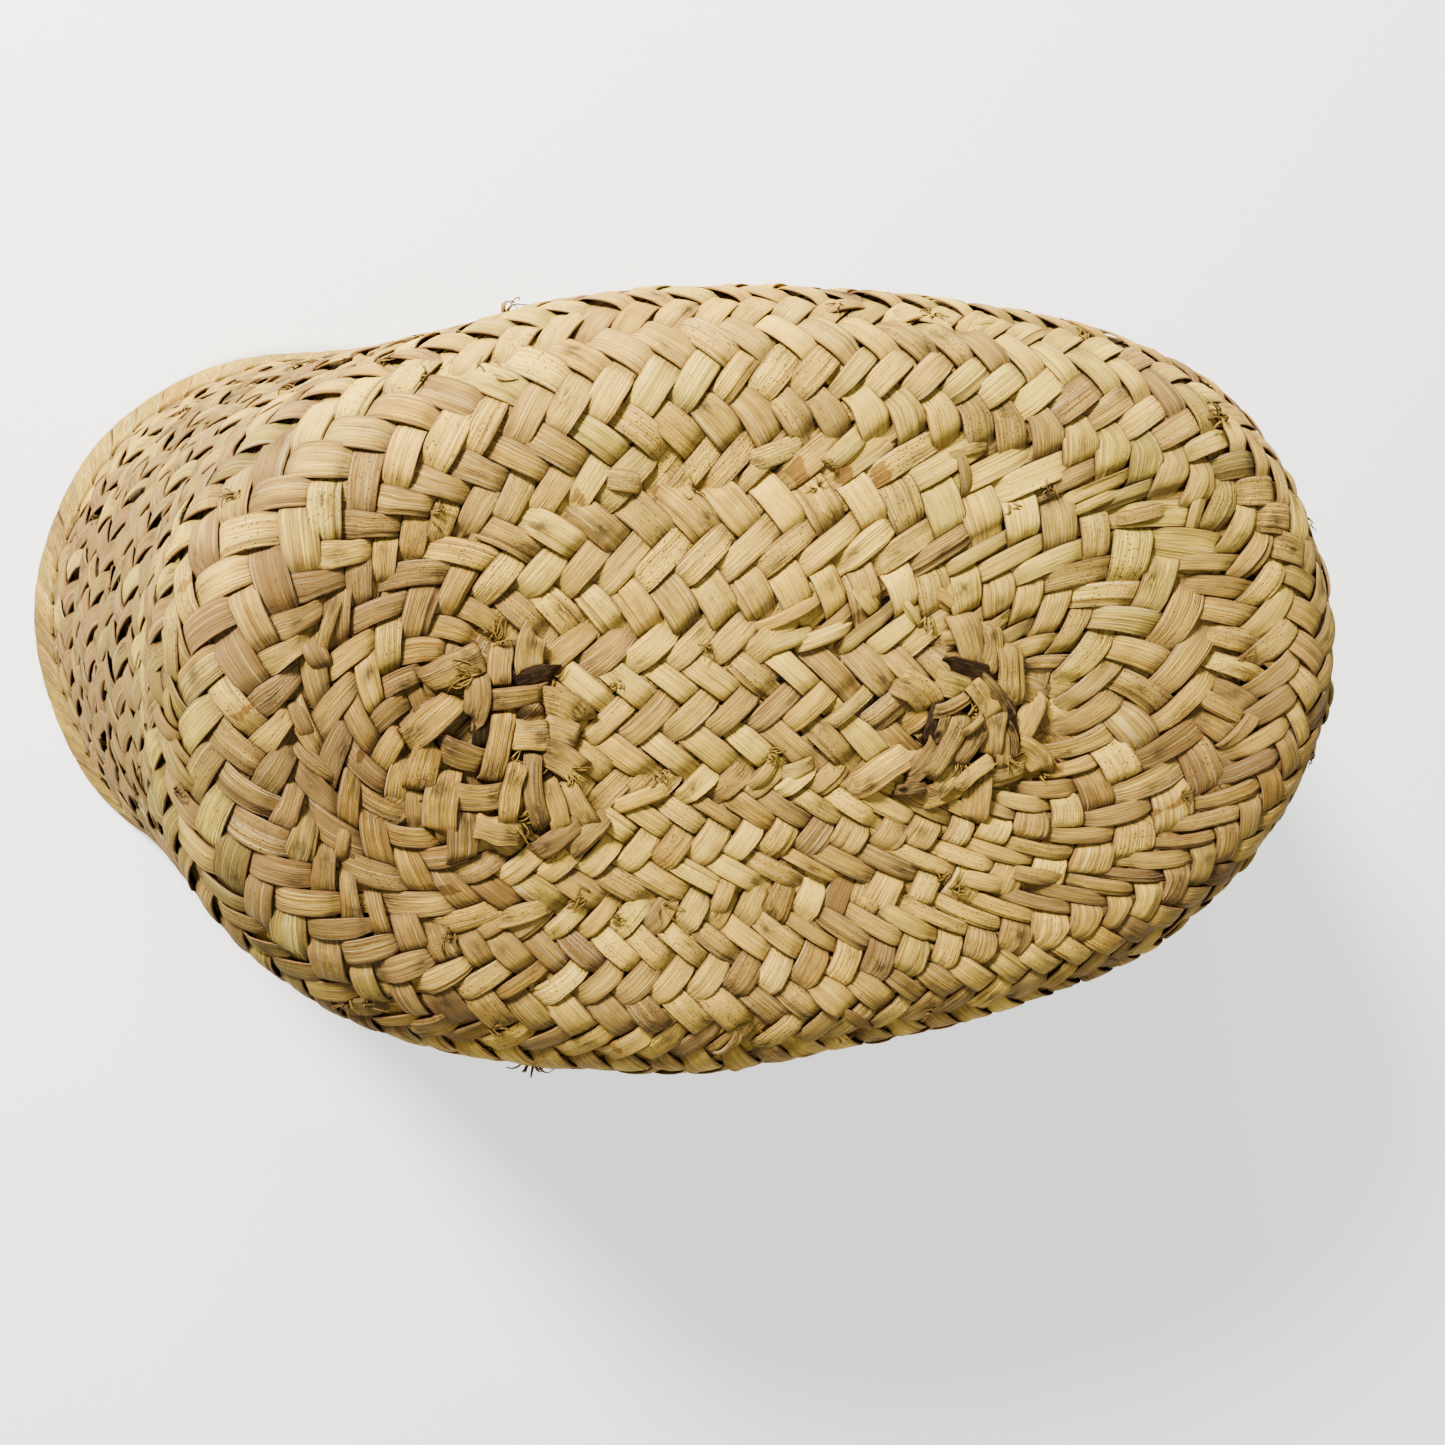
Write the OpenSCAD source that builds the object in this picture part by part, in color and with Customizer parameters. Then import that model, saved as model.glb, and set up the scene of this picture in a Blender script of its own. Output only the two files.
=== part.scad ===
// Oval plaited palm-leaf basket, standing mouth down on its rim.
// One long flat plait is coiled as an oval and laced edge to edge:
// a straight centre plait between two turning knots, turns that widen
// to the bend, turns that run down the wall, and a folded rim edge.
// Millimetres. +Z points from the mouth to the closed base, +X along
// the long axis. The origin is the centre of the mouth, on the plane
// of the rim.

/* [Base] */

// Length of the closed base over the bend
base_length = 364; // [300:1:440]
// Width of the closed base at the middle of its sides
base_width = 232; // [190:1:280]
// How far the base's sides bow out past its straight ends
base_bow = 12; // [4:1:20]
// Radius of the rounded bend between base and wall
bend_radius = 34; // [22:1:45]

/* [Mouth] */

// Length of the open mouth over the rim
mouth_length = 452; // [380:1:540]
// Width of the open mouth at the middle of its sides
mouth_width = 212; // [170:1:260]
// How far the mouth's sides bow out past its straight ends
mouth_bow = 6; // [2:1:14]

/* [Height] */

// Height from the rim to the top of the base
height = 206; // [165:1:250]

/* [Plait] */

// Width of the plait
plait_width = 45; // [36:1:54]
// Thickness of the plait
plait_thickness = 4; // [3:0.5:6]
// Width of the single palm strips in the plait
strip_width = 8; // [6:0.5:12]
// Clearance at a laced seam
seam_gap = 0.3; // [0.2:0.1:0.6]
// Diameter of the lacing cord inside each seam
cord_diameter = 3; // [2:0.5:4]

/* [Centre] */

// Half the distance between the two turning knots
knot_reach = 68; // [50:1:80]
// Offset of the centre plait along the base
centre_shift = -22; // [-30:1:0]
// Sideways offset of the centre plait
centre_side = -3; // [-8:1:8]
// Turn of the centre plait against the base, in degrees
centre_turn = -2; // [-6:0.5:6]
// Radius of the tight knot
tight_knot_radius = 14; // [10:0.5:18]
// Length of the gathered knot
gathered_knot_length = 44; // [34:1:52]

/* [Rim] */

// Height of the folded rim edge
rim_height = 9; // [7:0.5:12]
// Thickness of the folded rim edge
rim_thickness = 5.5; // [5:0.5:8]
// Thickness of the strip ends folded over the rim
tab_thickness = 1.2; // [0.8:0.1:2]

/* [Hidden] */

straw = [0.80, 0.70, 0.50];
straw_pale = [0.84, 0.76, 0.56];
straw_tan = [0.74, 0.61, 0.42];
cord_tone = [0.62, 0.52, 0.34];

around = 96;          // points round a turn
half_t = plait_thickness / 2;

base_r = base_width / 2 - base_bow;
base_a = base_length / 2 - base_r;
mouth_r = mouth_width / 2 - mouth_bow;
mouth_a = mouth_length / 2 - mouth_r;

flat_len = base_width / 2 - bend_radius;       // centre to start of bend
bend_len = bend_radius * PI / 2;
wall_drop = height - bend_radius;
side_in = base_width / 2 - mouth_width / 2;
wall_len = sqrt(wall_drop * wall_drop + side_in * side_in);
half_plait = plait_width / 2;
rim_len = rim_height;
// six turns share the way from the centre plait to the rim edge
turns = 6;
turn_len = (flat_len + bend_len + wall_len - half_plait - rim_len) / turns;

function seam(k) = half_plait + k * turn_len;
function mix(a, b, t) = a + (b - a) * t;

// An oval of four arcs: ends of radius r about (a, 0) and (-a, 0), and
// sides that bow out by b. n points, anticlockwise.
function oval(a, r, b, n) =
    let (c = (a * a - b * b) / (2 * b),
         big = r + sqrt(a * a + c * c),
         al = atan2(c, a), q = n / 4)
    [for (k = [0 : n - 1])
        let (side = floor(k / q), f = (k - side * q) / q)
        side == 0 ? [a + r * cos(mix(-al, al, f)), r * sin(mix(-al, al, f))]
      : side == 1 ? [big * cos(mix(al, 180 - al, f)),
                     -c + big * sin(mix(al, 180 - al, f))]
      : side == 2 ? [-a - r * cos(mix(-al, al, f)), -r * sin(mix(-al, al, f))]
      : [-big * cos(mix(al, 180 - al, f)),
         c - big * sin(mix(al, 180 - al, f))]];

function turned(p, ang) = [p[0] * cos(ang) - p[1] * sin(ang),
                           p[0] * sin(ang) + p[1] * cos(ang)];

// Oval ring of the shell at distance t from the centre, measured over
// the base and down the side, pushed out by off along the normal.
function ring(t, off) =
    t <= flat_len
    ? let (f = max(0, (t - half_plait) / (flat_len - half_plait)),
           a = mix(knot_reach, base_a, f),
           r = mix(half_plait, base_r - bend_radius, f),
           b = mix(0.05, base_bow, f),
           sx = mix(centre_shift, 0, f), sy = mix(centre_side, 0, f),
           ang = mix(centre_turn, 0, f))
      [for (p = oval(a, r, b, around))
          let (q = turned(p, ang)) [q[0] + sx, q[1] + sy, height - half_t + off]]
    : t <= flat_len + bend_len
    ? let (ph = (t - flat_len) / bend_len * 90,
           rr = bend_radius - half_t + off)
      [for (p = oval(base_a, base_r - bend_radius + rr * sin(ph), base_bow,
                     around))
          [p[0], p[1], height - bend_radius + rr * cos(ph)]]
    : let (f = (t - flat_len - bend_len) / wall_len)
      [for (p = oval(mix(base_a, mouth_a, f),
                     mix(base_r, mouth_r, f) - half_t + off,
                     mix(base_bow, mouth_bow, f), around))
          [p[0], p[1], wall_drop * (1 - f)]];

// The distances between t0 and t1 at which the shell is sampled.
function stations(t0, t1) =
    let (arc0 = flat_len, arc1 = flat_len + bend_len,
         marks = [for (k = [0 : 8]) arc0 + bend_len * k / 8])
    concat([t0], [for (m = marks) if (m > t0 + 1 && m < t1 - 1) m], [t1]);

// A closed band between an outer and an inner skin, each of m loops of
// n points.
module shell(outer, inner, m, n) {
    k = m * n;
    polyhedron(
        points = concat(outer, inner),
        faces = concat(
            [for (j = [0 : m - 2], i = [0 : n - 1])
                let (i2 = (i + 1) % n) each
                [[j * n + i, (j + 1) * n + i, (j + 1) * n + i2],
                 [j * n + i, (j + 1) * n + i2, j * n + i2]]],
            [for (j = [0 : m - 2], i = [0 : n - 1])
                let (i2 = (i + 1) % n) each
                [[k + j * n + i, k + (j + 1) * n + i2, k + (j + 1) * n + i],
                 [k + j * n + i, k + j * n + i2, k + (j + 1) * n + i2]]],
            [for (i = [0 : n - 1])
                let (i2 = (i + 1) % n) each
                [[i, i2, k + i2], [i, k + i2, k + i]]],
            [for (i = [0 : n - 1])
                let (i2 = (i + 1) % n, o = (m - 1) * n) each
                [[o + i, k + o + i, k + o + i2], [o + i, k + o + i2, o + i2]]]),
        convexity = 4);
}

// The plait's band of the shell from t0 to t1.
module band(t0, t1) {
    st = stations(t0, t1);
    shell([for (t = st) each ring(t, half_t)],
          [for (t = st) each ring(t, -half_t)], len(st), around);
}

// Turn number k of the plait, counted from the centre.
module turn(k) {
    band(seam(k - 1) + seam_gap / 2, seam(k) - seam_gap / 2);
}

// The straight plait between the two knots.
module centre_plait() {
    r = half_plait - seam_gap / 2;
    translate([centre_shift, centre_side, height - plait_thickness])
        rotate([0, 0, centre_turn])
            linear_extrude(plait_thickness) union() {
                square([2 * knot_reach, 2 * r], center = true);
                translate([knot_reach, 0]) circle(r, $fn = 96);
                translate([-knot_reach, 0]) circle(r, $fn = 96);
            }
}

// The cord that laces two turns along the inside of seam k.
module lacing(k) {
    m = 6;
    n = around;
    push = -half_t - cord_diameter / 2 - 0.02;
    mid = ring(seam(k), push);
    down = ring(seam(k) + 0.5, push);
    skin = ring(seam(k), push + 1);
    pts = [for (i = [0 : n - 1])
        let (c = mid[i], u = unit(c - down[i]), w = unit(skin[i] - c))
        for (j = [0 : m - 1])
            c + (u * cos(j * 360 / m) + w * sin(j * 360 / m))
                * cord_diameter / 2];
    polyhedron(points = pts,
        faces = [for (i = [0 : n - 1], j = [0 : m - 1])
            let (i2 = (i + 1) % n, j2 = (j + 1) % m)
            [i * m + j, i * m + j2, i2 * m + j2, i2 * m + j]],
        convexity = 6);
}

function unit(v) = v / norm(v);

// Folded edge that the basket rests on, with the strip ends turned over
// it as a row of slanting tabs.
module rim_edge() {
    t0 = seam(turns) + seam_gap / 2;
    t1 = flat_len + bend_len + wall_len;
    run = 2 * PI * (mouth_r + mouth_bow / 2) + 4 * mouth_a;
    count = floor(run / (strip_width * sqrt(2)) / 4) * 4;
    n = 4 * count;
    m = 3;
    lean = 0.9;               // tabs lean by this part of their pitch
    edge = [0, 0.1, 0.62, 0.72];
    skin = half_t - tab_thickness;
    outer = [for (j = [0 : m - 1])
        let (t = mix(t0, t1, j / (m - 1)), low = ring(t, skin),
             high = ring(t, half_t))
        for (i = [0 : n - 1])
            let (e = i % 4, f = (floor(i / 4) + edge[e] - lean * j / (m - 1))
                 / count * around)
            on_ring(e == 1 || e == 2 ? high : low, f)];
    inner = [for (j = [0 : m - 1])
        let (t = mix(t0, t1, j / (m - 1)),
             r = ring(t, skin - rim_thickness))
        for (i = [0 : n - 1])
            let (f = (floor(i / 4) + edge[i % 4] - lean * j / (m - 1))
                 / count * around)
            on_ring(r, f)];
    shell(outer, inner, m, n);
}

// A point at a fractional place f round a loop of points.
function on_ring(loop, f) =
    let (g = (f + around) % around, i = floor(g))
    mix(loop[i], loop[(i + 1) % around], g - i);

// A strip end bent over the knot: a flat leaf with a rounded back.
module leaf(len, wide, rise) {
    rotate([90, 0, 0])
        translate([0, 0, -wide / 2])
            linear_extrude(wide)
                difference() {
                    scale([len / 2, rise]) circle(1, $fn = 40);
                    translate([-len, -2 * rise]) square([2 * len, 2 * rise]);
                }
}

// The tight knot: a crumpled rosette of strips on the end of the
// centre plait.
module tight_knot() {
    r = tight_knot_radius;
    at_knot(1) {
        rotate_extrude($fn = 64)
            polygon([[0, 0], [r, 0], [r * 0.96, 1.6], [r * 0.8, 3.2],
                     [r * 0.5, 4.4], [0, 4.8]]);
        for (k = [0 : 4])
            rotate([0, 0, 24 + k * 72])
                translate([r * 0.42, 0, 0]) rotate([0, 0, 64])
                    leaf(r * 1.35, strip_width * 0.55, 5.6 + (k % 2) * 0.8);
    }
}

// The gathered knot: strips pulled together over a longer, looser patch.
module gathered_knot() {
    l = gathered_knot_length;
    w = strip_width;
    at_knot(-1) {
        hull() for (s = [-1, 1])
            translate([s * w * 0.35, s * (l / 2 - w * 1.1), 0])
                cylinder(r1 = w * 1.1, r2 = w * 0.7, h = 3.4, $fn = 48);
        for (k = [0 : 5])
            translate([(k % 2 - 0.5) * w * 0.9, (k - 2.5) * l / 6.4, 0])
                rotate([0, 0, k % 2 == 0 ? 28 : -34])
                    leaf(w * 2.3, w * 0.6, 4.6 + (k % 3) * 0.5);
    }
}

module at_knot(side) {
    translate([centre_shift, centre_side, height])
        rotate([0, 0, centre_turn]) translate([side * knot_reach, 0, 0])
            children();
}

color(straw_pale) centre_plait();
color(straw) turn(1);  // base_turn_1
color(straw_pale) turn(2);  // base_turn_2
color(straw) turn(3);  // bend_turn
color(straw_tan) turn(4);  // wall_turn_1
color(straw) turn(5);  // wall_turn_2
color(straw_tan) turn(6);  // wall_turn_3
color(straw_pale) rim_edge();
color(straw_tan) tight_knot();
color(straw_tan) gathered_knot();
color(cord_tone) lacing(0);  // lacing_1
color(cord_tone) lacing(1);  // lacing_2
color(cord_tone) lacing(2);  // lacing_3
color(cord_tone) lacing(3);  // lacing_4
color(cord_tone) lacing(4);  // lacing_5
color(cord_tone) lacing(5);  // lacing_6
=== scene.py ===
"""Oval plaited palm-leaf basket, mouth down on a pale floor.

Every strip of the plait is a real ribbon of mesh that goes over two and
under two. Lengths are millimetres until a mesh is made, then metres.
"""
import math

import bpy
import numpy as np
from mathutils import Matrix, Vector


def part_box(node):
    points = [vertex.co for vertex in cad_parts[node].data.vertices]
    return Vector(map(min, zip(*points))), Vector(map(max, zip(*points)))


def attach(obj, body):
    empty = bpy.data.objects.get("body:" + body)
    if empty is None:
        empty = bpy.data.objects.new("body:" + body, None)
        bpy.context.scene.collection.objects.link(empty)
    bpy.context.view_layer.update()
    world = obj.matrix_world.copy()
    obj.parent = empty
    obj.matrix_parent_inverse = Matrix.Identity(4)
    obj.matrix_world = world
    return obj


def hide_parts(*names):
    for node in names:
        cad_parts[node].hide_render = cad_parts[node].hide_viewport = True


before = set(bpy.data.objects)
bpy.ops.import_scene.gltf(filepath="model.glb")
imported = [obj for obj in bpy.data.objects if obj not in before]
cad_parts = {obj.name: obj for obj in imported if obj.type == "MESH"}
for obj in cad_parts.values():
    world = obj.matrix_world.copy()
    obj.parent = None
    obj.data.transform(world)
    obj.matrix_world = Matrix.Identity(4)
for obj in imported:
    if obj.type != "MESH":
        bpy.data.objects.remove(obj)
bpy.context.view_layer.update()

MM = 0.001
rng = np.random.default_rng(20)

# ---------------------------------------------------------------- sizes
# The shell, as in the CAD: an oval base, a round bend and a flared wall.
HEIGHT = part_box("centre_plait")[1][2] / MM
BASE_LENGTH, BASE_WIDTH, BASE_BOW = 364.0, 232.0, 12.0
MOUTH_LENGTH, MOUTH_WIDTH, MOUTH_BOW = 452.0, 212.0, 6.0
BEND_RADIUS = 34.0
PLAIT_WIDTH, HALF_THICK = 45.0, 2.0
RIM_HEIGHT = 9.0
KNOT_REACH = 68.0
CENTRE = np.array([-22.0, -3.0])
CENTRE_TURN = math.radians(-2.0)
TURNS = 6

BASE_R = BASE_WIDTH / 2 - BASE_BOW
BASE_A = BASE_LENGTH / 2 - BASE_R
MOUTH_R = MOUTH_WIDTH / 2 - MOUTH_BOW
MOUTH_A = MOUTH_LENGTH / 2 - MOUTH_R
HALF_PLAIT = PLAIT_WIDTH / 2
FLAT = BASE_WIDTH / 2 - BEND_RADIUS
BEND = BEND_RADIUS * math.pi / 2
DROP = HEIGHT - BEND_RADIUS
WALL = math.hypot(DROP, (BASE_WIDTH - MOUTH_WIDTH) / 2)
TOTAL = FLAT + BEND + WALL
TURN = (TOTAL - HALF_PLAIT - RIM_HEIGHT) / TURNS
SEAMS = HALF_PLAIT + TURN * np.arange(TURNS + 1)
# how much nearer the centre each seam is on the tight side
TIGHTER = np.array([7.5, 15.0, 17.0, 8.0, 0.0, 0.0, 0.0])

# The weave: rows of floats along the plait, and strips along a row.
ROWS = 4                        # rows of floats from seam to seam
PITCH = 11.1                    # from strip to strip along the plait
STRIP = PITCH / math.sqrt(2)    # width of a strip
LEAF = 0.45                     # thickness of a strip
WAVE = 0.85                     # how far a strip rises and dips
WALL_WAVE = 1.2 * WAVE          # the same on the wall, where the plait is looser
FIRST_WALL_TURN = 4
ALONG, ACROSS = 36, 9           # points on a strip
LOWER = [0, ACROSS // 2, ACROSS - 1]    # those across it that its lower face has
FLOATS = 6                      # most floats on a strip, each with its own draws
APART = 7.31                    # between the grains of two strips
OVER_SEAM = 0.62                # rows that a strip goes past a seam it lies over
TUCK_EVERY = 42.0               # length of seam to one odd leaf
FRAY_EVERY = 60.0               # length of seam to one frayed spot


def mix(a, b, t):
    """From a to b as t goes from 0 to 1."""
    return a + (b - a) * t


def smooth(x):
    """From 0 to 1 with soft ends, as x goes from 0 to 1."""
    x = np.clip(x, 0, 1)
    return x * x * (3 - 2 * x)


# ---------------------------------------------------------------- shell
def oval(a, r, b, q):
    """Point at q, from 0 to 4 quarters, on an oval of four arcs."""
    c = (a * a - b * b) / (2 * b)
    big = r + np.hypot(a, c)
    al = np.arctan2(c, a)
    q = np.mod(q, 4)
    side = np.floor(q).astype(int)
    f = q - side
    end = mix(-al, al, f)
    long = mix(al, np.pi - al, f)
    ex, ey = a + r * np.cos(end), r * np.sin(end)
    lx, ly = big * np.cos(long), -c + big * np.sin(long)
    sign = np.where(side >= 2, -1.0, 1.0)
    is_end = side % 2 == 0
    return sign * np.where(is_end, ex, lx), sign * np.where(is_end, ey, ly)


def uneven(x, y, z):
    """Slow unevenness of the soft shell, in mm along its normal."""
    return (0.75 * np.sin(x / 23 + y / 31 + 0.6) + 0.6 * np.sin(y / 17 - x / 41 + z / 29)
            + 0.45 * np.sin(x / 11.5 - z / 13 + 2.1) * np.sin(y / 13 + 0.8))


def drawn_in(q, t):
    """The coil is tighter on one long side, and its centre is skewed."""
    def near(at, reach):
        d = np.mod(q - at + 2, 4) - 2
        return np.cos(np.clip(d / reach, -1, 1) * np.pi / 2) ** 2
    tight = near(3.5, 1.05) * np.interp(t, SEAMS, TIGHTER)
    skew = 2.5 * near(1.5, 0.8) * np.tanh((q - 1.6) / 0.15)
    return t - tight - skew * np.exp(-((t - HALF_PLAIT) / 40) ** 2)


def shell(q, t, off):
    """Point of the shell: q quarters round, t from the centre, off along
    the outward normal of the mid surface."""
    q, t, off = np.broadcast_arrays(*(np.asarray(v, float) for v in (q, t, off)))
    flat_spot = smooth_shell(q, t, 0.0)
    return smooth_shell(q, t, off + uneven(*np.moveaxis(flat_spot, -1, 0)))


def smooth_shell(q, t, off):
    """The shell without its unevenness."""
    q, t, off = np.broadcast_arrays(*(np.asarray(v, float) for v in (q, t, off)))
    f = np.clip((t - HALF_PLAIT) / (FLAT - HALF_PLAIT), -0.3, 1)
    g = np.clip((t - FLAT - BEND) / WALL, 0, 1.2)
    ph = np.clip((t - FLAT) / BEND, 0, 1) * np.pi / 2
    rr = BEND_RADIUS - HALF_THICK + off
    flat = t <= FLAT
    wall = t > FLAT + BEND
    a = np.where(flat, mix(KNOT_REACH, BASE_A, f), mix(BASE_A, MOUTH_A, g))
    r = np.where(flat, mix(HALF_PLAIT, BASE_R - BEND_RADIUS, f),
                 np.where(wall, mix(BASE_R, MOUTH_R, g) - HALF_THICK + off,
                          BASE_R - BEND_RADIUS + rr * np.sin(ph)))
    b = np.where(flat, np.maximum(mix(0.05, BASE_BOW, f), 0.05), mix(BASE_BOW, MOUTH_BOW, g))
    x, y = oval(a, r, b, q)
    g0 = 1 - np.clip(f, 0, 1)
    turn = CENTRE_TURN * g0
    x, y = (x * np.cos(turn) - y * np.sin(turn) + CENTRE[0] * g0,
            x * np.sin(turn) + y * np.cos(turn) + CENTRE[1] * g0)
    z = np.where(flat, HEIGHT - HALF_THICK + off,
                 np.where(wall, DROP * (1 - g),
                          HEIGHT - BEND_RADIUS + rr * np.cos(ph)))
    return np.stack([x, y, z], -1)


class Ring:
    """The way round the shell at distance t: length, and length to q."""

    def __init__(self, t):
        self.q = np.linspace(0, 4, 1601)
        p = shell(self.q, t, 0.0)
        step = np.linalg.norm(np.diff(p, axis=0), axis=1)
        self.s = np.concatenate([[0], np.cumsum(step)])
        self.length = self.s[-1]

    def at(self, s):
        return np.interp(np.mod(s, self.length), self.s, self.q)


# ---------------------------------------------------------------- meshes
class Leaves:
    """Strips of leaf that end up as one mesh. Each is a closed band with
    a crowned upper face, and carries what its material reads."""

    def __init__(self):
        self.strips = []

    def add(self, top, low, leaf, tone, mark=None):
        """top and low: (M, n, m, 3) upper face and (M, n, 3, 3) lower
        face. leaf: (M, n, m, 3) place on the leaf: across from -1 to 1,
        along in mm, number. tone: (M, n, m, 3) light, hue and stain, where
        light and stain carry some painted shade.
        mark: (M, n, m, 3) fold line, torn patch and how speckled."""
        if mark is None:
            mark = np.zeros(top.shape)
            mark[..., 2] = rng.uniform(0, 1, (len(top), 1, 1))
        self.strips.append((top, low, leaf, tone, mark))

    def build(self, name, material, nodes):
        verts, faces, uvs = [], [], []
        carried = {"leaf": [], "tone": [], "mark": []}
        start = 0
        count = sum(len(part[0]) for part in self.strips)
        cols = max(1, int(math.sqrt(count * 0.3)))
        rows = math.ceil(count / cols)
        done = 0
        for top, low, *read in self.strips:
            M, n, m, _ = top.shape
            k = m + 3
            loop = np.concatenate([top, low[:, :, ::-1]], 2)
            verts.append(loop.reshape(-1, 3))
            for values, data in zip(carried.values(), read):
                both = np.concatenate([data, data[:, :, [m - 1, m // 2, 0]]], 2)
                values.append(both.reshape(-1, 3))
            base = (np.arange(M) * n * k + start)[:, None, None]
            i = np.arange(n - 1)[None, :, None] * k
            j = np.arange(k)[None, None, :]
            j2 = (j + 1) % k
            quad = np.stack([base + i + j, base + i + j2,
                             base + i + k + j2, base + i + k + j], -1)
            faces.append(quad.reshape(-1, 4))
            # the two ends, closed by quads over the loop
            ends = []
            for e, flip in ((0, False), ((n - 1) * k, True)):
                b0 = (np.arange(M) * n * k + start + e)[:, None]
                a = np.arange(k // 2 - 1)[None, :]
                q4 = np.stack([b0 + a, b0 + k - 1 - a,
                               b0 + k - 2 - a, b0 + a + 1], -1)
                if flip:
                    q4 = q4[..., ::-1]
                ends.append(q4.reshape(-1, 4))
            faces.append(np.concatenate(ends))
            start += M * n * k
            # a cell of the bake map for each strip
            num = np.arange(M) + done
            cx, cy = num % cols, num // cols
            u = (np.arange(n) / (n - 1))[None, :, None]
            v = (np.arange(k + 1) / k)[None, None, :]
            uu = (cx[:, None, None] + 0.03 + 0.94 * u) / cols
            vv = (cy[:, None, None] + 0.06 + 0.88 * v) / rows
            uu, vv = np.broadcast_arrays(uu, vv)
            cell = np.stack([uu, vv], -1)
            corners = [cell[:, :-1, :-1], cell[:, :-1, 1:], cell[:, 1:, 1:], cell[:, 1:, :-1]]
            uvs.append(np.stack(corners, -2).reshape(-1, 2))
            for col in (0, -1):
                near = cell[:, col][:, : k // 2]
                far = cell[:, col][:, k: k // 2: -1][:, : k // 2 - 1]
                cap = np.stack([near[:, :-1], far, far, near[:, 1:]], -2)
                uvs.append(cap.reshape(-1, 2))
            done += M
        verts = np.concatenate(verts) * MM
        faces = np.concatenate(faces)
        uvs = np.concatenate(uvs)
        me = bpy.data.meshes.new(name)
        me.vertices.add(len(verts))
        me.vertices.foreach_set("co", verts.astype(np.float32).ravel())
        me.loops.add(faces.size)
        me.loops.foreach_set("vertex_index", faces.astype(np.int32).ravel())
        me.polygons.add(len(faces))
        me.polygons.foreach_set("loop_start", np.arange(0, faces.size, 4, dtype=np.int32))
        me.polygons.foreach_set("use_smooth", np.ones(len(faces), bool))
        me.update(calc_edges=True)
        layer = me.uv_layers.new(name="OFBake")
        layer.uv.foreach_set("vector", uvs.astype(np.float32).ravel())
        for key, data in carried.items():
            at = me.attributes.new(key, "FLOAT_VECTOR", "POINT")
            at.data.foreach_set("vector", np.concatenate(data).astype(np.float32).ravel())
        me.validate()
        me.materials.append(material)
        ob = bpy.data.objects.new(name, me)
        bpy.context.scene.collection.objects.link(ob)
        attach(ob, "root")
        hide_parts(*nodes)
        return ob


ACROSS_AT = np.array([-1, -0.92, -0.6, -0.25, 0, 0.25, 0.6, 0.92, 1.0])
CROWN = np.array([-0.34, -0.1, 0.08, 0.18, 0.2, 0.18, 0.08, -0.1, -0.34])

# Where the basket's colour drifts: place in mm, reach, light, hue. Hue
# above 0 is green and below 0 is orange to pink.
DRIFTS = (
    ((-172, -12, 178), 46, -0.34, 1.25),    # yellow-green band on the bend
    ((-150, -70, 180), 36, -0.30, 1.05),
    ((-150, 62, 178), 40, -0.26, 0.45),
    ((-125, -6, 206), 36, -0.35, -0.85),    # orange tan inside it
    ((-115, -55, 206), 32, -0.29, -0.70),
    ((-112, 40, 206), 30, -0.20, -0.45),
    ((45, 84, 200), 46, -0.02, 0.45),       # grey-green on the +Y side
    ((90, 55, 206), 38, -0.12, 0.35),
    ((125, -40, 200), 46, -0.30, -0.30),    # pinkish tan towards +X
    ((160, 20, 190), 50, -0.14, 0.10),
    ((-20, -3, 206), 38, 0.06, 0.0),
    ((10, -70, 206), 60, -0.08, -0.16),
    ((-10, 95, 190), 60, 0.10, -0.18),
    ((-215, 10, 90), 80, -0.54, 0.40),      # painted shade: the wall is darker where the key lamp lights it, and a duller yellow
    ((-190, -80, 110), 60, -0.36, 0.50),
    ((-170, 95, 100), 60, -0.10, 0.50),
)


def drift(p):
    """Light and hue that the drifts add at p."""
    light = np.zeros(p.shape[:-1])
    hue = np.zeros(p.shape[:-1])
    for at, reach, dl, dh in DRIFTS:
        w = np.exp(-(((p - np.array(at, float)) / reach) ** 2).sum(-1))
        light += dl * w
        hue += dh * w
    return light, hue


def wander(count, n, size, cycles):
    """Smooth random curves: count of them, n points, about size high."""
    x = np.linspace(0, 1, n)[None]
    out = np.zeros((count, n))
    for c in cycles:
        ph = rng.uniform(0, 2 * np.pi, (count, 1))
        out += np.sin(2 * np.pi * c * x + ph) * rng.normal(0, 1, (count, 1))
    return out * size / math.sqrt(len(cycles))


# how many strips there are so far, so that each gets a grain of its own
number = [0]


def cross_section(count):
    """Places across each strip and its height there. Many strips are two
    leaves, one a little back from the other's edge, or have a crease."""
    k = rng.uniform(0.3, 0.78, count)
    y = np.stack([np.full(count, -1.0), np.full(count, -0.92), np.full(count, -0.5),
                  np.full(count, -0.05), k - 0.16, k - 0.03, k + 0.03,
                  np.maximum(k + 0.08, 0.92), np.full(count, 1.0)], 1)
    step = rng.choice([0, 0, 0.0, 0.22, 0.34], count)
    fold = (step == 0) * rng.choice([0, 0, 0.14, -0.16], count)
    h = 0.20 * (1 - y ** 2) - 0.10 - 0.14 * (np.abs(y) > 0.97)
    h[:, 6:] -= step[:, None]
    h[:, 5] += 0.7 * fold
    h[:, 6] += fold
    line = np.zeros_like(y)
    line[:, 6] = (step > 0) * rng.uniform(0.6, 1.0, count) + 0.5 * (fold != 0)
    flip = rng.random(count) < 0.5
    y[flip] = -y[flip, ::-1]
    h[flip] = h[flip, ::-1]
    line[flip] = line[flip, ::-1]
    return y, h, line


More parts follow.
